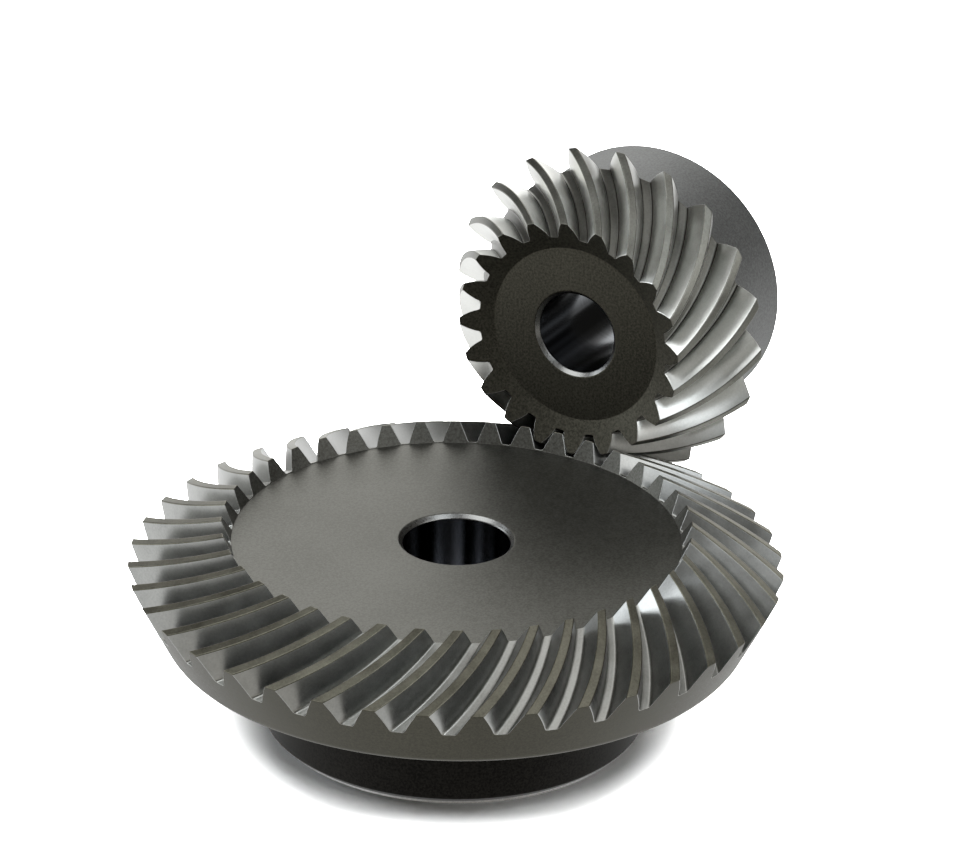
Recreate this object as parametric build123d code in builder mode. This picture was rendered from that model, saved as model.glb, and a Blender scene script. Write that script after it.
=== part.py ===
"""A pair of spiral bevel gears whose shafts cross at a right angle.

The wheel's axis is +Z and the pinion's axis is +Y. The two meet at the apex, the point that
both pitch cones run to. The origin is on the wheel's axis, at the underside of the thrust
washer that carries the wheel. Lengths are in millimetres, angles in radians.
"""

import os
from math import acos, asin, atan, cos, hypot, pi, radians, sin, sqrt, tan
from typing import NamedTuple

from build123d import *

# Tooth system
OUTER_MODULE = 3.0
WHEEL_TEETH = 40
PINION_TEETH = 20
NORMAL_PRESSURE_ANGLE = radians(20)
MEAN_SPIRAL_ANGLE = radians(35)
CUTTER_RADIUS = 57.15
FACE_WIDTH = 19.0
FLANK_THINNING = 0.09
ROOT_FILLET = 0.45

# Wheel blank
WHEEL_MOUNTING_DISTANCE = 60.0
WHEEL_TOE_FACE = 24.25
WHEEL_RIM_EDGE_RADIUS = 54.5
WHEEL_HUB_DIAMETER = 72.0
WHEEL_BORE = 20.0

# Pinion blank
PINION_MOUNTING_DISTANCE = 79.0
PINION_TOE_FACE = 45.0
PINION_HUB_DIAMETER = 54.0
PINION_BORE = 16.0

# Small features that both blanks share
BORE_CHAMFER = 0.8
HUB_CHAMFER = 1.0
HUB_CORNER_CHAMFER = 1.5
RIM_CHAMFER = 0.8

# Thrust washers
WASHER_THICKNESS = 1.0
WASHER_STEP = 4.0
WASHER_BORE_CLEARANCE = 1.0

# How finely a tooth space is lofted and solved for, and how far it runs past the blank
SECTIONS = 7
FLANK_POINTS = 7
END_OVERRUN = 3.0
TOP_OVERRUN = 1.0
DISTANCE_REPEATS = 6

# Edges closer to a level or a radius than this are on it
TOLERANCE = 0.01

# Pitch cones
ratio = WHEEL_TEETH / PINION_TEETH
wheel_pitch_angle = atan(ratio)
pinion_pitch_angle = atan(1 / ratio)
outer_cone = OUTER_MODULE * hypot(WHEEL_TEETH, PINION_TEETH) / 2
inner_cone = outer_cone - FACE_WIDTH
mean_cone = outer_cone - FACE_WIDTH / 2
transverse_pressure_angle = atan(tan(NORMAL_PRESSURE_ANGLE) / cos(MEAN_SPIRAL_ANGLE))

# Tooth depths at the heel, as Gleason's spiral bevel system gives them
working_depth = 1.7 * OUTER_MODULE
whole_depth = 1.888 * OUTER_MODULE
wheel_addendum = (0.46 + 0.39 / ratio**2) * OUTER_MODULE
pinion_addendum = working_depth - wheel_addendum
wheel_dedendum = whole_depth - wheel_addendum
pinion_dedendum = whole_depth - pinion_addendum

# The pinion's teeth are the thicker ones, because their addendum is the longer one
half_pitch = pi * OUTER_MODULE / 2
thickness_shift = (pinion_addendum - wheel_addendum) * tan(transverse_pressure_angle)

# Distance from the apex, along the crown gear's polar axis, to the cutter's centre
cutter_offset = sqrt(
    mean_cone**2
    + CUTTER_RADIUS**2
    - 2 * mean_cone * CUTTER_RADIUS * sin(MEAN_SPIRAL_ANGLE)
)


class Gear(NamedTuple):
    """One gear. Its frame has the apex as origin and +Z pointing along the axis to the hub."""

    frame: Plane
    teeth: int
    pitch_angle: float
    addendum: float
    dedendum: float
    mate_dedendum: float
    space_width: float
    hand: int
    first_space: float


apex = Vector(0, 0, WASHER_THICKNESS + WHEEL_MOUNTING_DISTANCE)

# In both frames +X is where the two gears mesh. The wheel has a tooth space there.
wheel_gear = Gear(
    frame=Plane(origin=apex, x_dir=(0, 1, 0), z_dir=(0, 0, -1)),
    teeth=WHEEL_TEETH,
    pitch_angle=wheel_pitch_angle,
    addendum=wheel_addendum,
    dedendum=wheel_dedendum,
    mate_dedendum=pinion_dedendum,
    space_width=half_pitch + thickness_shift + 2 * FLANK_THINNING,
    hand=1,
    first_space=0.0,
)
pinion_gear = Gear(
    frame=Plane(origin=apex, x_dir=(0, 0, -1), z_dir=(0, 1, 0)),
    teeth=PINION_TEETH,
    pitch_angle=pinion_pitch_angle,
    addendum=pinion_addendum,
    dedendum=pinion_dedendum,
    mate_dedendum=wheel_dedendum,
    space_width=half_pitch - thickness_shift + 2 * FLANK_THINNING,
    hand=-1,
    first_space=180 / PINION_TEETH,
)


def crown_angle(cone_distance):
    """Polar angle of the tooth line on the crown gear, whose tooth lines are cutter arcs."""
    arc = cone_distance**2 + cutter_offset**2 - CUTTER_RADIUS**2
    return acos(arc / (2 * cone_distance * cutter_offset))


def spiral_turn(gear, cone_distance):
    """How far the tooth has turned about the gear's axis, from the middle of the face."""
    turn = crown_angle(mean_cone) - crown_angle(cone_distance)
    return gear.hand * turn / sin(gear.pitch_angle)


def involute(gear, polar_angle):
    """Azimuth of a spherical involute at a polar angle, from where it leaves its base cone."""
    base = asin(sin(gear.pitch_angle) * cos(transverse_pressure_angle))
    rolled = acos(cos(polar_angle) / cos(base)) / sin(base)
    return rolled - acos(tan(base) / tan(polar_angle))


def half_space(gear, polar_angle):
    """Half the azimuth that a tooth space takes up at a polar angle."""
    at_pitch = gear.space_width / (OUTER_MODULE * gear.teeth)
    return at_pitch + involute(gear, polar_angle) - involute(gear, gear.pitch_angle)


def ray(polar_angle, azimuth):
    """Unit vector from the apex in the gear's frame."""
    return Vector(
        sin(polar_angle) * cos(azimuth),
        sin(polar_angle) * sin(azimuth),
        cos(polar_angle),
    )


def section_plane(gear, cone_distance):
    """Plane square to the pitch line of the tooth space, with its Y towards the tooth tips."""
    azimuth = spiral_turn(gear, cone_distance)
    element = ray(gear.pitch_angle, azimuth)
    return Plane(
        origin=element * cone_distance,
        x_dir=Vector(-sin(azimuth), cos(azimuth), 0),
        z_dir=element,
    )


def flank_point(gear, plane, polar_angle, side):
    """Where one flank of the space crosses a section plane, in the plane's own X and Y.

    The tooth turns about its axis as it nears the heel, and a point's own distance from the
    apex says how far. That distance is found by repeating, because the turn moves the point.
    """
    distance = plane.origin.length
    for _ in range(DISTANCE_REPEATS):
        azimuth = spiral_turn(gear, distance) + side * half_space(gear, polar_angle)
        direction = ray(polar_angle, azimuth)
        distance = plane.origin.length / plane.z_dir.dot(direction)
    local = plane.to_local_coords(direction * distance)
    return (local.X, local.Y)


def tooth_space(gear):
    """The solid that is cut away between two teeth, longer and taller than the blank."""
    bottom = gear.pitch_angle - atan(gear.dedendum / outer_cone)
    top = gear.pitch_angle + atan((gear.addendum + TOP_OVERRUN) / outer_cone)
    heights = [bottom + (top - bottom) * i / (FLANK_POINTS - 1) for i in range(FLANK_POINTS)]
    start = inner_cone - END_OVERRUN
    step = (FACE_WIDTH + 2 * END_OVERRUN) / (SECTIONS - 1)

    with BuildPart() as space:
        for i in range(SECTIONS):
            cone_distance = start + i * step
            plane = section_plane(gear, cone_distance)
            left = [flank_point(gear, plane, height, -1) for height in heights]
            right = [flank_point(gear, plane, height, 1) for height in heights]
            with BuildSketch(plane) as section:
                with BuildLine():
                    Spline(*left)
                    Line(left[-1], right[-1])
                    Spline(*reversed(right))
                    Line(right[0], left[0])
                make_face()
                root = plane.from_local_coords(left[0])
                corners = section.vertices().sort_by_distance(root)[:2]
                fillet(corners, radius=ROOT_FILLET * cone_distance / outer_cone)
        loft()
    return space.part


def circles_at(solid, level):
    """A turned solid's circular edges at one level along its axis, the smallest first."""
    circles = solid.edges().filter_by(GeomType.CIRCLE)
    at_level = circles.filter_by_position(Axis.Z, level - TOLERANCE, level + TOLERANCE)
    return at_level.sort_by(SortBy.RADIUS)


def gear_solid(gear, toe_face, rim_radius, hub_radius, mounting_distance, bore_radius):
    """A gear in its own frame: a turned blank with the tooth spaces cut out of it."""
    across = (cos(gear.pitch_angle), -sin(gear.pitch_angle))
    along = (sin(gear.pitch_angle), cos(gear.pitch_angle))

    def blank_point(cone_distance, height):
        """Radius and axial place of a point this high above the pitch cone."""
        return (
            cone_distance * along[0] + height * across[0],
            cone_distance * along[1] + height * across[1],
        )

    toe_depth = (toe_face - inner_cone * along[1]) / along[0]
    rim_depth = (outer_cone * along[0] - rim_radius) / across[0]
    toe_addendum = gear.addendum - FACE_WIDTH * gear.mate_dedendum / outer_cone
    toe_face_edge = blank_point(inner_cone, -toe_depth)
    toe_tip = blank_point(inner_cone, toe_addendum)
    heel_tip = blank_point(outer_cone, gear.addendum)
    rim_edge = blank_point(outer_cone, -rim_depth)
    shoulder = rim_edge[1]
    has_shoulder = rim_radius > hub_radius

    outline = [(bore_radius, toe_face), toe_face_edge, toe_tip, heel_tip, rim_edge]
    if has_shoulder:
        outline.append((hub_radius, shoulder))
    outline.append((hub_radius, mounting_distance))
    outline.append((bore_radius, mounting_distance))
    space = tooth_space(gear)

    with BuildPart() as solid:
        with BuildSketch(Plane.XZ):
            with BuildLine():
                Polyline(*outline, close=True)
            make_face()
        revolve(axis=Axis.Z)
        chamfer(circles_at(solid, toe_face)[0], BORE_CHAMFER)
        chamfer(circles_at(solid, mounting_distance)[0], BORE_CHAMFER)
        chamfer(circles_at(solid, mounting_distance)[-1], HUB_CHAMFER)
        if has_shoulder:
            chamfer(circles_at(solid, shoulder)[0], HUB_CORNER_CHAMFER)
            chamfer(circles_at(solid, shoulder)[-1], RIM_CHAMFER)
        with PolarLocations(0, gear.teeth, start_angle=gear.first_space):
            add(space, mode=Mode.SUBTRACT)
    return solid.part


def washer_ring(hub_diameter, bore):
    """Outline of a thrust washer, a little smaller than the hub that it carries."""
    with BuildSketch() as ring:
        Circle((hub_diameter - WASHER_STEP) / 2)
        Circle(bore / 2 + WASHER_BORE_CLEARANCE, mode=Mode.SUBTRACT)
    return ring.sketch


os.makedirs("parts", exist_ok=True)

# The wheel: hub down, teeth up
with BuildPart(wheel_gear.frame) as wheel:
    add(
        gear_solid(
            wheel_gear,
            toe_face=WHEEL_TOE_FACE,
            rim_radius=WHEEL_RIM_EDGE_RADIUS,
            hub_radius=WHEEL_HUB_DIAMETER / 2,
            mounting_distance=WHEEL_MOUNTING_DISTANCE,
            bore_radius=WHEEL_BORE / 2,
        )
    )
wheel.part.label = "wheel"
export_step(wheel.part, "parts/wheel.step")

# The pinion: its back cone runs straight into its hub, without a shoulder
with BuildPart(pinion_gear.frame) as pinion:
    add(
        gear_solid(
            pinion_gear,
            toe_face=PINION_TOE_FACE,
            rim_radius=PINION_HUB_DIAMETER / 2,
            hub_radius=PINION_HUB_DIAMETER / 2,
            mounting_distance=PINION_MOUNTING_DISTANCE,
            bore_radius=PINION_BORE / 2,
        )
    )
pinion.part.label = "pinion"
export_step(pinion.part, "parts/pinion.step")

# Thrust washers: each lies against the back of a hub and stands still while the gear turns
with BuildPart() as wheel_thrust_washer:
    with BuildSketch(Plane.XY):
        add(washer_ring(WHEEL_HUB_DIAMETER, WHEEL_BORE))
    extrude(amount=WASHER_THICKNESS)
wheel_thrust_washer.part.label = "wheel_thrust_washer"
export_step(wheel_thrust_washer.part, "parts/wheel_thrust_washer.step")

with BuildPart() as pinion_thrust_washer:
    with BuildSketch(pinion_gear.frame.offset(PINION_MOUNTING_DISTANCE)):
        add(washer_ring(PINION_HUB_DIAMETER, PINION_BORE))
    extrude(amount=WASHER_THICKNESS)
pinion_thrust_washer.part.label = "pinion_thrust_washer"
export_step(pinion_thrust_washer.part, "parts/pinion_thrust_washer.step")
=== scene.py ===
"""Looks of a spiral bevel gear pair: machined steel wheel and pinion on a pale floor.

Both gears are built here from the same tooth formulas as their CAD nodes, with softly broken
edges, and stand for those nodes. Lengths of the gears and the camera are in millimetres, and
become metres when an object is made. The floor and the lamps are given in metres.
"""

from math import acos, asin, atan, cos, hypot, pi, radians, sin, sqrt, tan

import bpy
import numpy as np
from mathutils import Matrix, Vector


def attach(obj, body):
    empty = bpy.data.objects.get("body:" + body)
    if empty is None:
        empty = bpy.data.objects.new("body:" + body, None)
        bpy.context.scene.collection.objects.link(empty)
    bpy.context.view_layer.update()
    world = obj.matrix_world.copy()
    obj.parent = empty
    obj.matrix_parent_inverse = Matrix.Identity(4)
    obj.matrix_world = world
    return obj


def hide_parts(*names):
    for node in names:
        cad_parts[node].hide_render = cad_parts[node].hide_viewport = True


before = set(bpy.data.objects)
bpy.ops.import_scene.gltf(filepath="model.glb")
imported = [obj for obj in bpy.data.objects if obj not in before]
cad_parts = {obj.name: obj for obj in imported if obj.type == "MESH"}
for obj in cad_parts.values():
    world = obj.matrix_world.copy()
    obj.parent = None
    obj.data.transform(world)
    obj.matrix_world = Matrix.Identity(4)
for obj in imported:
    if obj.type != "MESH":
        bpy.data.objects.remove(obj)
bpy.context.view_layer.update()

MM = 0.001

# Tooth system
OUTER_MODULE = 3.0
WHEEL_TEETH = 40
PINION_TEETH = 20
NORMAL_PRESSURE_ANGLE = radians(20)
MEAN_SPIRAL_ANGLE = radians(35)
CUTTER_RADIUS = 57.15
FACE_WIDTH = 19.0
FLANK_THINNING = 0.09

# Blanks
WHEEL_MOUNTING_DISTANCE = 60.0
WHEEL_TOE_FACE = 24.25
WHEEL_RIM_EDGE_RADIUS = 54.5
WHEEL_HUB_RADIUS = 36.0
WHEEL_BORE_RADIUS = 10.0
PINION_MOUNTING_DISTANCE = 79.0
PINION_TOE_FACE = 45.0
PINION_HUB_RADIUS = 27.0
PINION_BORE_RADIUS = 8.0
BORE_CHAMFER = 0.8
HUB_CHAMFER = 1.0
APEX_HEIGHT = 61.0

# Broken edges and fillets
ROOT_FILLET = 0.45
TIP_ROUND = 0.16
END_ROUND = 0.08
EDGE_BREAK = 0.15
RIM_ROUND = 0.8
HUB_CORNER_ROUND = 1.5
TOE_EDGE_ROUND = 0.04

# A grid line this many roundings away from a corner keeps the flat beside it flat
SUPPORT = 1.7

# How finely the grid follows a tooth, the rounded corners and the toe face
FLOOR_POINTS = 3
ROOT_STEPS = 4
FLANK_POINTS = 9
TIP_STEPS = 3
END_STEPS = 3
ROWS_ACROSS = 22
CORNER_STEPS = 3
TOE_FACE_STEPS = 6

# Where the toothed rows on both end cones turn into plain rings: below the roots at the heel, and
# as a share of the way from the toe face's edge to the roots at the toe
HEEL_RING_DEPTH = 0.6
TOE_RING_SHARE = 0.8
END_ROW_SHARES = (0.05, 0.5, 1.0)

# The outline's first point on the wheel's back cone, and its last one on either toe cone
WHEEL_OUTLINE_SHARE = 0.85
TOE_OUTLINE_SHARE = 0.6

ratio = WHEEL_TEETH / PINION_TEETH
outer_cone = OUTER_MODULE * hypot(WHEEL_TEETH, PINION_TEETH) / 2
inner_cone = outer_cone - FACE_WIDTH
mean_cone = outer_cone - FACE_WIDTH / 2
transverse_angle = atan(tan(NORMAL_PRESSURE_ANGLE) / cos(MEAN_SPIRAL_ANGLE))
apex = Vector((0, 0, APEX_HEIGHT)) * MM

# Tooth depths at the heel, as Gleason's spiral bevel system gives them
working_depth = 1.7 * OUTER_MODULE
whole_depth = 1.888 * OUTER_MODULE
wheel_addendum = (0.46 + 0.39 / ratio**2) * OUTER_MODULE
pinion_addendum = working_depth - wheel_addendum
wheel_dedendum = whole_depth - wheel_addendum
pinion_dedendum = whole_depth - pinion_addendum

# The pinion's teeth are the thicker ones, because their addendum is the longer one
half_pitch = pi * OUTER_MODULE / 2
thickness_shift = (pinion_addendum - wheel_addendum) * tan(transverse_angle)

# Distance from the apex to the cutter's centre, on the crown gear
cutter_offset = sqrt(
    mean_cone**2 + CUTTER_RADIUS**2 - 2 * mean_cone * CUTTER_RADIUS * sin(MEAN_SPIRAL_ANGLE)
)


class Gear:
    """One gear's tooth geometry. Azimuths are about its axis, from a tooth space's centre."""

    def __init__(
        self, teeth, pitch_angle, addendum, dedendum, mate_dedendum, space_width, hand, toe_face
    ):
        self.teeth = teeth
        self.pitch_angle = pitch_angle
        self.addendum = addendum
        self.dedendum = dedendum
        self.mate_dedendum = mate_dedendum
        self.space_width = space_width
        self.hand = hand
        self.toe_face = toe_face
        self.base = asin(sin(pitch_angle) * cos(transverse_angle))

    def turn(self, distance):
        """How far the tooth has turned about the axis at this distance from the apex."""
        arc = distance**2 + cutter_offset**2 - CUTTER_RADIUS**2
        here = np.arccos(arc / (2 * distance * cutter_offset))
        middle = mean_cone**2 + cutter_offset**2 - CUTTER_RADIUS**2
        start = acos(middle / (2 * mean_cone * cutter_offset))
        return self.hand * (start - here) / sin(self.pitch_angle)

    def involute(self, polar):
        """Azimuth of a spherical involute at a polar angle."""
        rolled = np.arccos(np.cos(polar) / cos(self.base)) / sin(self.base)
        return rolled - np.arccos(tan(self.base) / np.tan(polar))

    def half_space(self, cone_distance, height):
        """Half the azimuth of a tooth space at a height over the pitch cone."""
        polar = self.pitch_angle + np.arctan(height / cone_distance)
        at_pitch = self.space_width / (OUTER_MODULE * self.teeth)
        return at_pitch + self.involute(polar) - self.involute(self.pitch_angle)

    def radius(self, cone_distance, height):
        return cone_distance * sin(self.pitch_angle) + height * cos(self.pitch_angle)

    def axial(self, cone_distance, height):
        return cone_distance * cos(self.pitch_angle) - height * sin(self.pitch_angle)

    def point(self, cone_distance, height):
        return (self.radius(cone_distance, height), self.axial(cone_distance, height))

    def toe_height(self, share):
        """Height on the toe cone, from the toe face's edge at 0 to just below the roots at 1."""
        edge = (inner_cone * cos(self.pitch_angle) - self.toe_face) / sin(self.pitch_angle)
        roots = -self.dedendum * inner_cone / outer_cone - END_ROUND
        return edge * (1 - share) + roots * share


WHEEL = Gear(
    teeth=WHEEL_TEETH,
    pitch_angle=atan(ratio),
    addendum=wheel_addendum,
    dedendum=wheel_dedendum,
    mate_dedendum=pinion_dedendum,
    space_width=half_pitch + thickness_shift + 2 * FLANK_THINNING,
    hand=1,
    toe_face=WHEEL_TOE_FACE,
)
PINION = Gear(
    teeth=PINION_TEETH,
    pitch_angle=atan(1 / ratio),
    addendum=pinion_addendum,
    dedendum=pinion_dedendum,
    mate_dedendum=wheel_dedendum,
    space_width=half_pitch - thickness_shift + 2 * FLANK_THINNING,
    hand=-1,
    toe_face=PINION_TOE_FACE,
)

# Zones of a gear's surface, in the order of its material slots
FLANK, LAND, ROOT, TOE_FACE, BACK_CONE, HUB, BORE, CHAMFER = range(8)


# ---------------------------------------------------------------- outlines


def bezier(start, corner, end, steps):
    """Points of a rounded corner, without its first point."""
    t = np.linspace(0, 1, steps + 1)[1:, None]
    start, corner, end = np.array(start), np.array(corner), np.array(end)
    return (1 - t) ** 2 * start + 2 * t * (1 - t) * corner + t**2 * end


def half_profile(gear, cone_distance):
    """Azimuth and height from the middle of a tooth space to the middle of the next tooth."""
    scale = cone_distance / outer_cone
    low = -gear.dedendum * scale
    high = gear.addendum - (outer_cone - cone_distance) * gear.mate_dedendum / outer_cone
    fillet = ROOT_FILLET * scale
    floor_corner = gear.half_space(cone_distance, low)
    tip_corner = gear.half_space(cone_distance, high)
    floor_end = floor_corner - fillet / gear.radius(cone_distance, low)
    land_start = tip_corner + TIP_ROUND / gear.radius(cone_distance, high)

    floor = np.stack([np.linspace(0, floor_end, FLOOR_POINTS), np.full(FLOOR_POINTS, low)], axis=1)
    above = (gear.half_space(cone_distance, low + fillet), low + fillet)
    root = bezier((floor_end, low), (floor_corner, low), above, ROOT_STEPS)
    heights = np.linspace(low + fillet, high - SUPPORT * TIP_ROUND, FLANK_POINTS)[1:]
    heights = np.append(heights, high - TIP_ROUND)
    flank = np.stack([gear.half_space(cone_distance, heights), heights], axis=1)
    tip = bezier(flank[-1], (tip_corner, high), (land_start, high), TIP_STEPS)
    beside = tip_corner + SUPPORT * TIP_ROUND / gear.radius(cone_distance, high)
    land = np.array([(beside, high), (pi / gear.teeth, high)])

    zones = [ROOT] * (FLOOR_POINTS - 1 + ROOT_STEPS)
    zones += [FLANK] * FLANK_POINTS
    zones += [LAND] * (TIP_STEPS + len(land))
    return np.concatenate([floor, root, flank, tip, land]), zones


def profile(gear, cone_distance):
    """The whole way round the gear at one cone distance, and the zone after each point."""
    half, zones = half_profile(gear, cone_distance)
    back = half[-2:0:-1] * [-1, 1] + [2 * pi / gear.teeth, 0]
    pitch = np.concatenate([half, back])
    zones = zones + zones[::-1]
    shifts = 2 * pi / gear.teeth * np.arange(gear.teeth)
    azimuth = (pitch[:, 0][None, :] + shifts[:, None]).ravel()
    return azimuth, np.tile(pitch[:, 1], gear.teeth), zones * gear.teeth


def inset(gear, cone_distance, azimuth, height, depth):
    """The profile moved into the metal, square to itself, by a depth."""
    radius = gear.radius(cone_distance, height)
    before = np.roll(azimuth, 1)
    after = np.roll(azimuth, -1)
    before[0] -= 2 * pi
    after[-1] += 2 * pi
    along = (after - before) * radius
    rise = np.roll(height, -1) - np.roll(height, 1)
    length = np.hypot(along, rise)
    return azimuth + depth * rise / length / radius, height - depth * along / length


def rounded(points):
    """A turned outline from (radius, axial, corner size, zone) rows, with its corners rounded."""
    places, zones = [], []
    for i, (radius, axial, size, zone) in enumerate(points):
        here = np.array([radius, axial])
        if size == 0:
            places.append(here)
            zones.append(zone)
            continue
        before = np.array(points[i - 1][:2]) - here
        after = np.array(points[i + 1][:2]) - here
        before /= np.linalg.norm(before)
        after /= np.linalg.norm(after)
        start = here + before * size
        end = here + after * size
        places.append(here + before * size * SUPPORT)
        zones.append(zones[-1])
        corner = [start, *bezier(start, here, end, CORNER_STEPS), here + after * size * SUPPORT]
        places.extend(corner)
        zones.extend([zone] * len(corner))
    return places, zones


def hub_outline(gear, hub, back, bore):
    """From the hub's side over its back, through the bore and across the toe face."""
    toe_face = gear.toe_face
    toe_edge = gear.radius(inner_cone, gear.toe_height(0))
    mouth = bore + BORE_CHAMFER
    rows = [
        (hub, back - HUB_CHAMFER, EDGE_BREAK, HUB),
        (hub - HUB_CHAMFER, back, EDGE_BREAK, HUB),
        (mouth, back, EDGE_BREAK, CHAMFER),
        (bore, back - BORE_CHAMFER, EDGE_BREAK, BORE),
        (bore, toe_face + BORE_CHAMFER, EDGE_BREAK, CHAMFER),
        (mouth, toe_face, EDGE_BREAK, TOE_FACE),
    ]
    for step in range(1, TOE_FACE_STEPS):
        rows.append((mouth + (toe_edge - mouth) * step / TOE_FACE_STEPS, toe_face, 0, TOE_FACE))
    rows.append((toe_edge, toe_face, TOE_EDGE_ROUND, TOE_FACE))
    rows.append((*gear.point(inner_cone, gear.toe_height(TOE_OUTLINE_SHARE)), 0, TOE_FACE))
    return rows


def wheel_outline():
    """The wheel's blank below the teeth: radius, axial place, corner size and zone."""
    rim_depth = (outer_cone * sin(WHEEL.pitch_angle) - WHEEL_RIM_EDGE_RADIUS) / cos(WHEEL.pitch_angle)
    shoulder = WHEEL.axial(outer_cone, -rim_depth)
    return [
        (*WHEEL.point(outer_cone, -rim_depth * WHEEL_OUTLINE_SHARE), 0, BACK_CONE),
        (WHEEL_RIM_EDGE_RADIUS, shoulder, RIM_ROUND, BACK_CONE),
        (WHEEL_HUB_RADIUS, shoulder, HUB_CORNER_ROUND, HUB),
        *hub_outline(WHEEL, WHEEL_HUB_RADIUS, WHEEL_MOUNTING_DISTANCE, WHEEL_BORE_RADIUS),
    ]


def pinion_outline():
    """The pinion's blank: its back cone runs straight into its hub."""
    hub_depth = (outer_cone * sin(PINION.pitch_angle) - PINION_HUB_RADIUS) / cos(PINION.pitch_angle)
    return [
        (*PINION.point(outer_cone, -hub_depth), 0, HUB),
        *hub_outline(PINION, PINION_HUB_RADIUS, PINION_MOUNTING_DISTANCE, PINION_BORE_RADIUS),
    ]


# ---------------------------------------------------------------- gear meshes


class GearGrid:
    """A gear's surface as rings of points about its axis, with the zone of the faces after each."""

    def __init__(self, gear, first_space):
        self.gear = gear
        self.first_space = first_space
        self.rings = []
        self.zones = []

    def add_ring(self, azimuth, radius, axial, zone):
        """One ring. All but its azimuths may be one value for the whole ring."""
        places = (radius * np.cos(azimuth), radius * np.sin(azimuth), axial)
        self.rings.append(np.stack(np.broadcast_arrays(*places), axis=1))
        self.zones.append(np.broadcast_to(zone, len(azimuth)))

    def add_tooth_row(self, cone_distance, depth=0.0, zone=None):
        """The tooth profile at one cone distance, moved into the metal by a depth."""
        gear = self.gear
        azimuth, height, zones = profile(gear, cone_distance)
        if depth:
            azimuth, height = inset(gear, cone_distance, azimuth, height, depth)
        turned = azimuth + self.first_space + gear.turn(np.hypot(cone_distance, height))
        radius, axial = gear.point(cone_distance, height)
        self.add_ring(turned, radius, axial, zones if zone is None else zone)
        return turned, height

    def add_teeth(self):
        """Rows over the teeth from toe to heel, with rounded ends. Gives the two end rows."""
        inner_angles = np.linspace(0, pi / 2, END_STEPS + 1)[1:-1]
        toe = self.add_tooth_row(inner_cone, END_ROUND)
        for angle in inner_angles:
            place = inner_cone + END_ROUND * (1 - cos(angle))
            self.add_tooth_row(place, END_ROUND * (1 - sin(angle)))
        support = SUPPORT * END_ROUND
        places = np.linspace(inner_cone + support, outer_cone - support, ROWS_ACROSS)
        for place in (inner_cone + END_ROUND, *places, outer_cone - END_ROUND):
            self.add_tooth_row(place)
        for angle in inner_angles:
            place = outer_cone - END_ROUND * (1 - sin(angle))
            self.add_tooth_row(place, END_ROUND * (1 - cos(angle)))
        heel = self.add_tooth_row(outer_cone, END_ROUND, BACK_CONE)
        return toe, heel

    def add_end_rows(self, azimuth, height, cone_distance, ring_height, zone, shares):
        """Rows on an end cone, between the tooth profile at share 0 and a plain ring at 1."""
        for share in shares:
            level = height * (1 - share) + ring_height * share
            radius, axial = self.gear.point(cone_distance, level)
            self.add_ring(azimuth, radius, axial, zone)

    def add_blank(self, heel_azimuth, toe_azimuth, outline):
        """Plain rings round the blank, from the heel back to the toe."""
        places, zones = rounded(outline)
        for i, (radius, axial) in enumerate(places):
            share = (i + 1) / (len(places) + 1)
            azimuth = heel_azimuth * (1 - share) + toe_azimuth * share
            self.add_ring(azimuth, radius, axial, zones[i])

    def mesh(self, name):
        """All the rings joined into one closed surface."""
        grid = np.array(self.rings)
        rows, columns = grid.shape[:2]
        index = np.arange(rows * columns).reshape(rows, columns)
        down = np.roll(index, -1, axis=0)
        right = np.roll(index, -1, axis=1)
        across = np.roll(down, -1, axis=1)
        faces = np.stack([index, right, across, down], axis=-1).reshape(-1, 4)
        mesh = bpy.data.meshes.new(name)
        mesh.from_pydata((grid.reshape(-1, 3) * MM).tolist(), [], faces.tolist())
        mesh.polygons.foreach_set("material_index", np.array(self.zones, dtype=np.int32).ravel())
        mesh.polygons.foreach_set("use_smooth", np.ones(len(faces), dtype=bool))
        mesh.update()
        return mesh


def gear_piece(name, gear, outline, first_space=0.0):
    """The gear as one closed grid: over the teeth from toe to heel, then round the blank."""
    grid = GearGrid(gear, first_space)
    (toe_azimuth, toe_height), (heel_azimuth, heel_height) = grid.add_teeth()
    heel_ring = -gear.dedendum - HEEL_RING_DEPTH
    toe_ring = gear.toe_height(TOE_RING_SHARE)
    grid.add_end_rows(heel_azimuth, heel_height, outer_cone, heel_ring, BACK_CONE, END_ROW_SHARES)
    grid.add_blank(heel_azimuth, toe_azimuth, outline)
    grid.add_end_rows(toe_azimuth, toe_height, inner_cone, toe_ring, TOE_FACE, END_ROW_SHARES[::-1])
    return bpy.data.objects.new(name, grid.mesh(name))


# ---------------------------------------------------------------- materials

# Noise textures keep within about this range
NOISE_LOW = 0.3
NOISE_HIGH = 0.7


class Nodes:
    """A node tree under construction: nodes are added and wired by short calls."""

    def __init__(self, tree):
        self.tree = tree

    def node(self, kind, **settings):
        made = self.tree.nodes.new(kind)
        for key, value in settings.items():
            setattr(made, key, value)
        return made

    def feed(self, socket, value):
        """Wires an output to a socket, or sets the socket's own value."""
        if isinstance(value, bpy.types.NodeSocket):
            self.tree.links.new(value, socket)
        else:
            socket.default_value = value

    def math(self, operation, *values):
        made = self.node("ShaderNodeMath", operation=operation)
        for socket, value in zip(made.inputs, values):
            self.feed(socket, value)
        return made.outputs[0]

    def spread(self, value, low, high, to_low=0.0, to_high=1.0, curve="LINEAR"):
        """Maps a value's range onto another range, clamped."""
        made = self.node("ShaderNodeMapRange", interpolation_type=curve)
        for socket, setting in zip(made.inputs, (value, low, high, to_low, to_high)):
            self.feed(socket, setting)
        return made.outputs["Result"]

    def mix(self, share, first, second):
        made = self.node("ShaderNodeMix", data_type="RGBA")
        self.feed(made.inputs["Factor"], share)
        for socket, value in zip((made.inputs[6], made.inputs[7]), (first, second)):
            self.feed(socket, (*value, 1.0) if isinstance(value, tuple) else value)
        return made.outputs[2]


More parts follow.
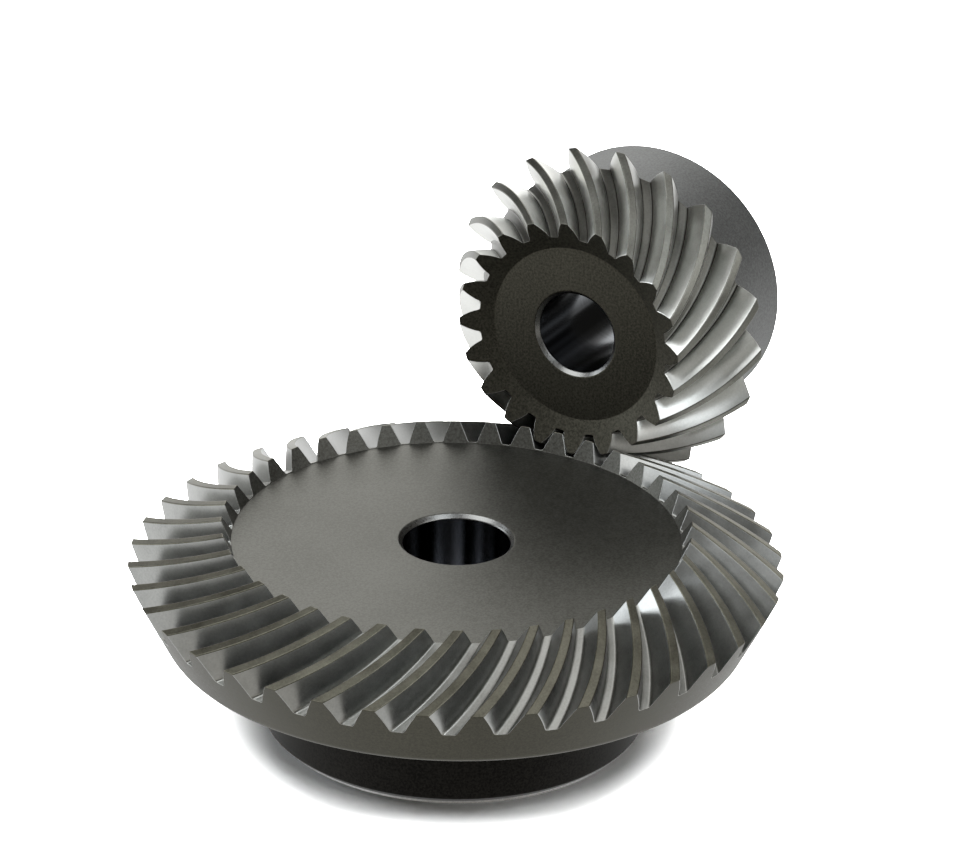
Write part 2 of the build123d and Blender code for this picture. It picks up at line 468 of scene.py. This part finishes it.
class Shader(Nodes):
    """A material under construction. Its textures sit on the piece, at a scale of millimetres."""

    def __init__(self, name):
        self.material = bpy.data.materials.new(name)
        self.material.use_nodes = True
        super().__init__(self.material.node_tree)
        self.surface = self.tree.nodes["Principled BSDF"]
        scaled = self.node("ShaderNodeVectorMath", operation="SCALE")
        self.feed(scaled.inputs[0], self.node("ShaderNodeTexCoord").outputs["Object"])
        scaled.inputs["Scale"].default_value = 1 / MM
        self.place = scaled.outputs[0]

    def vector(self, x, y, z):
        made = self.node("ShaderNodeCombineXYZ")
        for socket, value in zip(made.inputs, (x, y, z)):
            self.feed(socket, value)
        return made.outputs[0]

    def noise(self, place, scale, detail=3.0, roughness=0.55):
        made = self.node("ShaderNodeTexNoise")
        self.feed(made.inputs["Vector"], place)
        made.inputs["Scale"].default_value = scale
        made.inputs["Detail"].default_value = detail
        made.inputs["Roughness"].default_value = roughness
        return made.outputs["Fac"]

    def bump(self, height, distance, strength, below=None):
        """A bump of a height texture, with its distance in millimetres."""
        made = self.node("ShaderNodeBump")
        self.feed(made.inputs["Height"], height)
        made.inputs["Distance"].default_value = distance * MM
        made.inputs["Strength"].default_value = strength
        if below is not None:
            self.feed(made.inputs["Normal"], below)
        return made.outputs["Normal"]

    def radial(self):
        """Distance from the part's own axis, axial place and azimuth, in millimetres and radians."""
        split = self.node("ShaderNodeSeparateXYZ")
        self.feed(split.inputs[0], self.place)
        x, y, z = split.outputs
        squares = self.math("ADD", self.math("MULTIPLY", x, x), self.math("MULTIPLY", y, y))
        return self.math("SQRT", squares), z, self.math("ARCTAN2", y, x)

    def tone(self, *layers):
        """Adds up noise layers of (value, least, most) into one share between two colours."""
        total = 0.0
        for value, least, most in layers:
            total = self.math("ADD", self.spread(value, NOISE_LOW, NOISE_HIGH, least, most), total)
        return total

    def around(self, value, middle, swing):
        """A value that a noise moves up and down around its middle."""
        return self.spread(value, NOISE_LOW, NOISE_HIGH, middle - swing, middle + swing)

    def finish(self, color, roughness, normal, metallic=1.0):
        self.feed(self.surface.inputs["Base Color"], color)
        self.feed(self.surface.inputs["Roughness"], roughness)
        self.feed(self.surface.inputs["Normal"], normal)
        self.surface.inputs["Metallic"].default_value = metallic
        return self.material


def turned_steel(name, tones, roughness, grain=1.0):
    """A lathe-turned face: fine rings about the axis, a sandy grain and slow stains."""
    shader = Shader(name)
    radius, axial, azimuth = shader.radial()
    along = shader.math("ADD", radius, axial)
    slow_turn = shader.math("MULTIPLY", azimuth, 0.6)
    rings = shader.noise(shader.vector(along, slow_turn, 0.0), scale=2.9, detail=2.0)
    sand = shader.noise(shader.place, scale=2.2, detail=3.0, roughness=0.75)
    stain = shader.noise(shader.place, scale=0.05, detail=2.0, roughness=0.5)
    tone = shader.tone((stain, 0.1, 0.4), (rings, 0.0, 0.08), (sand, -0.6 * grain, 1.0 * grain))
    color = shader.mix(tone, *tones)
    grooves = shader.bump(rings, distance=0.004, strength=0.3)
    surface = shader.bump(sand, distance=0.02 * grain, strength=0.5, below=grooves)
    return shader.finish(color, shader.around(sand, roughness, swing=0.06), surface)


def cut_steel(name, tones, roughness):
    """A cutter-finished tooth surface: smooth satin with a fine grain and slow stains."""
    shader = Shader(name)
    sand = shader.noise(shader.place, scale=2.4, detail=3.0, roughness=0.6)
    stain = shader.noise(shader.place, scale=0.22, detail=3.0, roughness=0.5)
    color = shader.mix(shader.tone((stain, 0.0, 0.55), (sand, 0.0, 0.45)), *tones)
    surface = shader.bump(sand, distance=0.003, strength=0.15)
    return shader.finish(color, shader.around(stain, roughness, swing=0.03), surface)


def bore_with_painted_reflections(name, tones, roughness):
    """A reamed bore: broad soft streaks along the axis, which are painted reflections, over faint
    rings.
    """
    shader = Shader(name)
    _, axial, azimuth = shader.radial()
    turned = shader.vector(shader.math("COSINE", azimuth), shader.math("SINE", azimuth), 0.0)
    painted_reflection_streaks = shader.noise(turned, scale=1.9, detail=1.0, roughness=0.4)
    rings = shader.noise(shader.vector(axial, 0.0, 0.0), scale=1.6, detail=2.0)
    # The streaks paint reflections in the bore; the rings are its turning marks
    color = shader.mix(shader.tone((painted_reflection_streaks, -0.4, 1.1), (rings, 0.0, 0.15)), *tones)
    surface = shader.bump(rings, distance=0.004, strength=0.25)
    return shader.finish(color, shader.around(painted_reflection_streaks, roughness, swing=0.05), surface)


# The darkest and the lightest reflectance of each finish; some rows hold painted light or shade, as
# noted at them
WHEEL_TONES_AND_PAINTED_LIGHT = {
    "flank": ((0.232, 0.235, 0.229), (0.343, 0.346, 0.337)),
    "land": ((0.070, 0.067, 0.052), (0.150, 0.145, 0.116)),
    "root": ((0.22, 0.22, 0.205), (0.33, 0.33, 0.312)),
    "toe_face": ((0.072, 0.071, 0.062), (0.126, 0.125, 0.114)),
    # The hub's near-black tone is painted shade: it stands in for the shadowed floor that the hub
    # would mirror
    "hub": ((0.007, 0.0065, 0.006), (0.020, 0.019, 0.017)),
    # The wide bore range is for its painted reflection streaks
    "bore": ((0.02, 0.021, 0.023), (0.60, 0.62, 0.66)),
}
PINION_TONES_AND_PAINTED_LIGHT = {
    # Flanks and lands are lighter than the wheel's: painted light
    "flank": ((0.46, 0.462, 0.444), (0.60, 0.603, 0.583)),
    "land": ((0.097, 0.096, 0.084), (0.175, 0.174, 0.157)),
    # Roots are darker than the wheel's: painted shade between the teeth
    "root": ((0.065, 0.064, 0.057), (0.115, 0.114, 0.104)),
    "toe_face": ((0.040, 0.038, 0.030), (0.086, 0.082, 0.065)),
    "hub": ((0.115, 0.117, 0.116), (0.180, 0.183, 0.182)),
    # The bore range is for its painted reflection streaks
    "bore": ((0.02, 0.021, 0.023), (0.17, 0.18, 0.195)),
}
BACK_CONE_TONES = ((0.029, 0.027, 0.019), (0.056, 0.053, 0.039))
CHAMFER_TONES = ((0.15, 0.15, 0.145), (0.23, 0.23, 0.225))
WASHER_TONES = ((0.20, 0.20, 0.20), (0.30, 0.30, 0.30))


def gear_materials(prefix, tones):
    """One material per zone, in the zones' order."""
    return [
        cut_steel(prefix + "_flank", tones["flank"], roughness=0.32),
        cut_steel(prefix + "_land", tones["land"], roughness=0.36),
        cut_steel(prefix + "_root", tones["root"], roughness=0.34),
        turned_steel(prefix + "_toe_face", tones["toe_face"], roughness=0.52),
        turned_steel(prefix + "_back_cone", BACK_CONE_TONES, roughness=0.45, grain=0.7),
        turned_steel(prefix + "_hub", tones["hub"], roughness=0.62),
        bore_with_painted_reflections(prefix + "_bore", tones["bore"], roughness=0.18),
        turned_steel(prefix + "_chamfer", CHAMFER_TONES, roughness=0.30, grain=0.4),
    ]


# ---------------------------------------------------------------- the gears


def placed(piece, x_axis, z_axis, materials, body, node):
    """Puts a piece in its gear's frame, gives it its finish and lets it stand for its node."""
    x_axis, z_axis = Vector(x_axis), Vector(z_axis)
    turn = Matrix((x_axis, z_axis.cross(x_axis), z_axis)).transposed()
    piece.matrix_world = Matrix.Translation(apex) @ turn.to_4x4()
    bpy.context.scene.collection.objects.link(piece)
    for material in materials:
        piece.data.materials.append(material)
    smooth = piece.modifiers.new("soft_normals", "WEIGHTED_NORMAL")
    smooth.keep_sharp = False
    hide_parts(node)
    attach(piece, body)


# In both frames +X is where the two gears mesh. The wheel has a tooth space there.
placed(
    gear_piece("spiral_bevel_wheel", WHEEL, wheel_outline()),
    x_axis=(0, 1, 0),
    z_axis=(0, 0, -1),
    materials=gear_materials("wheel", WHEEL_TONES_AND_PAINTED_LIGHT),
    body="wheel",
    node="wheel",
)
placed(
    gear_piece("spiral_bevel_pinion", PINION, pinion_outline(), first_space=pi / PINION_TEETH),
    x_axis=(0, 0, -1),
    z_axis=(0, 1, 0),
    materials=gear_materials("pinion", PINION_TONES_AND_PAINTED_LIGHT),
    body="pinion",
    node="pinion",
)

washer_finish = turned_steel("washer_steel", WASHER_TONES, roughness=0.35)
for node in ("wheel_thrust_washer", "pinion_thrust_washer"):
    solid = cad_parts[node]
    solid.data.materials.clear()
    solid.data.materials.append(washer_finish)


# ---------------------------------------------------------------- camera

CAMERA_AZIMUTH = radians(28.70)
CAMERA_ELEVATION = radians(25.14)
CAMERA_ROLL = radians(1.084)
CAMERA_DISTANCE = 833.6
CAMERA_LENS = 167.8
SENSOR_WIDTH = 36.0

# The camera looks at a point this far to the right of the apex and below it
AIM_RIGHT = 5.68
AIM_DOWN = 2.22


def look_from(azimuth, elevation, roll):
    """Right, up and backward axes of a camera; azimuth 0 looks along +Y."""
    forward = Vector((-sin(azimuth) * cos(elevation), cos(azimuth) * cos(elevation), -sin(elevation)))
    level = Vector((cos(azimuth), sin(azimuth), 0))
    upright = level.cross(forward)
    right = level * cos(roll) + upright * sin(roll)
    return right, right.cross(forward), -forward


def make_camera():
    """The camera. Gives the level direction to its right and the one back towards it."""
    right, up, back = look_from(CAMERA_AZIMUTH, CAMERA_ELEVATION, CAMERA_ROLL)
    aim = apex + right * AIM_RIGHT * MM - up * AIM_DOWN * MM
    camera = bpy.data.objects.new("camera", bpy.data.cameras.new("camera"))
    camera.data.lens = CAMERA_LENS
    camera.data.sensor_width = SENSOR_WIDTH
    camera.data.clip_start = 0.05
    camera.data.clip_end = 20.0
    axes = Matrix((right, up, back)).transposed().to_4x4()
    camera.matrix_world = Matrix.Translation(aim + back * CAMERA_DISTANCE * MM) @ axes
    bpy.context.scene.collection.objects.link(camera)
    bpy.context.scene.camera = camera
    return Vector((cos(CAMERA_AZIMUTH), sin(CAMERA_AZIMUTH), 0)), back


# ---------------------------------------------------------------- floor, light and surroundings

FLOOR_HALF = 3.0
FLOOR_TONES = ((0.86, 0.86, 0.86), (0.90, 0.90, 0.90))
FLOOR_ROUGHNESS = 0.8

# The point on the wheel's axis that the lamps face
STUDIO_CENTRE = (0, 0, 0.04)

# Rectangular lamps: name, azimuth, elevation, distance, width and height, radiance and colour
SOFT_BOXES = (
    ("left_box", -105, 16, 0.75, (0.35, 0.35), 5.3, (0.91, 0.96, 1.0)),
    ("high_left_box", -72, 60, 0.95, (0.65, 0.60), 4.0, (0.96, 0.985, 1.0)),
    ("high_right_box", 110, 72, 1.0, (0.5, 0.5), 1.8, (1.0, 1.0, 1.0)),
    ("front_box", 38, 52, 0.90, (0.45, 0.40), 4.1, (0.91, 0.96, 1.0)),
    ("right_box", 60, 30, 0.90, (0.5, 0.4), 2.6, (0.99, 0.99, 0.98)),
)

FLOOR_SUNS = 6
SUN_ELEVATION = 58
SUN_STRENGTH = 6.0
SUN_SPREAD = radians(24)

# What the steel mirrors, as radiances, with the azimuth and elevation of the two special places
ROOM = (0.15, 0.145, 0.131)
BRIGHT_SPOT = (2.9, 2.9, 2.83)
BRIGHT_SPOT_PLACE = (178, 26)
GROUND = (1.50, 1.51, 1.50)
FRONT_GROUND = (0.75, 0.73, 0.685)
FRONT_GROUND_PLACE = (15, -25)


def make_floor():
    """A wide pale floor of fine paper."""
    mesh = bpy.data.meshes.new("floor")
    half = FLOOR_HALF
    corners = [(-half, -half, 0), (half, -half, 0), (half, half, 0), (-half, half, 0)]
    mesh.from_pydata(corners, [], [(0, 1, 2, 3)])
    floor = bpy.data.objects.new("floor", mesh)
    shader = Shader("floor_paper")
    fibre = shader.noise(shader.place, scale=0.8, detail=3.0)
    color = shader.mix(fibre, *FLOOR_TONES)
    surface = shader.bump(fibre, distance=0.02, strength=0.2)
    mesh.materials.append(shader.finish(color, FLOOR_ROUGHNESS, surface, metallic=0.0))
    floor.visible_glossy = False
    bpy.context.scene.collection.objects.link(floor)
    return floor


class Studio:
    """Directions as the viewer sees them: azimuth 0 is towards the viewer, 90 to the right."""

    def __init__(self, right, back):
        self.right = right
        self.nearer = Vector((back.x, back.y, 0)).normalized()
        self.centre = Vector(STUDIO_CENTRE)

    def direction(self, azimuth, elevation):
        """Unit vector towards an azimuth and elevation in degrees."""
        azimuth, elevation = radians(azimuth), radians(elevation)
        level = self.right * sin(azimuth) + self.nearer * cos(azimuth)
        return level * cos(elevation) + Vector((0, 0, sin(elevation)))

    def add_lamp(self, light, location, towards):
        """A light at a place, shining along a direction."""
        lamp = bpy.data.objects.new(light.name, light)
        lamp.location = location
        lamp.rotation_mode = "QUATERNION"
        lamp.rotation_quaternion = towards.to_track_quat("-Z", "Y")
        bpy.context.scene.collection.objects.link(lamp)
        return lamp

    def add_soft_box(self, name, azimuth, elevation, distance, size, radiance, color):
        """A rectangular soft box that faces the gears."""
        width, height = size
        light = bpy.data.lights.new(name, "AREA")
        light.shape = "RECTANGLE"
        light.size = width
        light.size_y = height
        light.energy = radiance * pi * width * height
        light.color = color
        offset = self.direction(azimuth, elevation) * distance
        self.add_lamp(light, self.centre + offset, -offset)


def make_lights(studio, floor):
    """Soft boxes for the steel, and a ring of suns that light the floor only."""
    for box in SOFT_BOXES:
        studio.add_soft_box(*box)

    floor_lit = bpy.data.collections.new("floor_lit")
    floor_lit.objects.link(floor)
    for i in range(FLOOR_SUNS):
        light = bpy.data.lights.new(f"floor_sun_{i}", "SUN")
        light.energy = SUN_STRENGTH
        light.angle = SUN_SPREAD
        azimuth = -90 + i * 360 / FLOOR_SUNS
        sun = studio.add_lamp(light, (0, 0, 0), -studio.direction(azimuth, SUN_ELEVATION))
        sun.light_linking.receiver_collection = floor_lit


def make_world(studio):
    """What the steel sees round it: a dim room, brighter behind, over a pale ground."""
    world = bpy.data.worlds.new("studio")
    world.use_nodes = True
    nodes = Nodes(world.node_tree)
    direction = nodes.node("ShaderNodeTexCoord").outputs["Generated"]

    def share(axis, low, high):
        """How far a direction leans towards an axis, from 0 at one cosine to 1 at another."""
        lean = nodes.node("ShaderNodeVectorMath", operation="DOT_PRODUCT")
        nodes.feed(lean.inputs[0], direction)
        nodes.feed(lean.inputs[1], axis)
        return nodes.spread(lean.outputs["Value"], low, high, curve="SMOOTHSTEP")

    behind = share(studio.direction(*BRIGHT_SPOT_PLACE), 0.85, 0.97)
    in_front = share(studio.direction(*FRONT_GROUND_PLACE), 0.4, 0.98)
    below = share((0, 0, -1), -0.03, 0.05)
    room = nodes.mix(behind, ROOM, BRIGHT_SPOT)
    ground = nodes.mix(in_front, GROUND, FRONT_GROUND)
    whole = nodes.mix(below, room, ground)
    nodes.feed(nodes.tree.nodes["Background"].inputs["Color"], whole)
    bpy.context.scene.world = world


bpy.context.scene.view_settings.view_transform = "Standard"
studio = Studio(*make_camera())
make_lights(studio, make_floor())
make_world(studio)
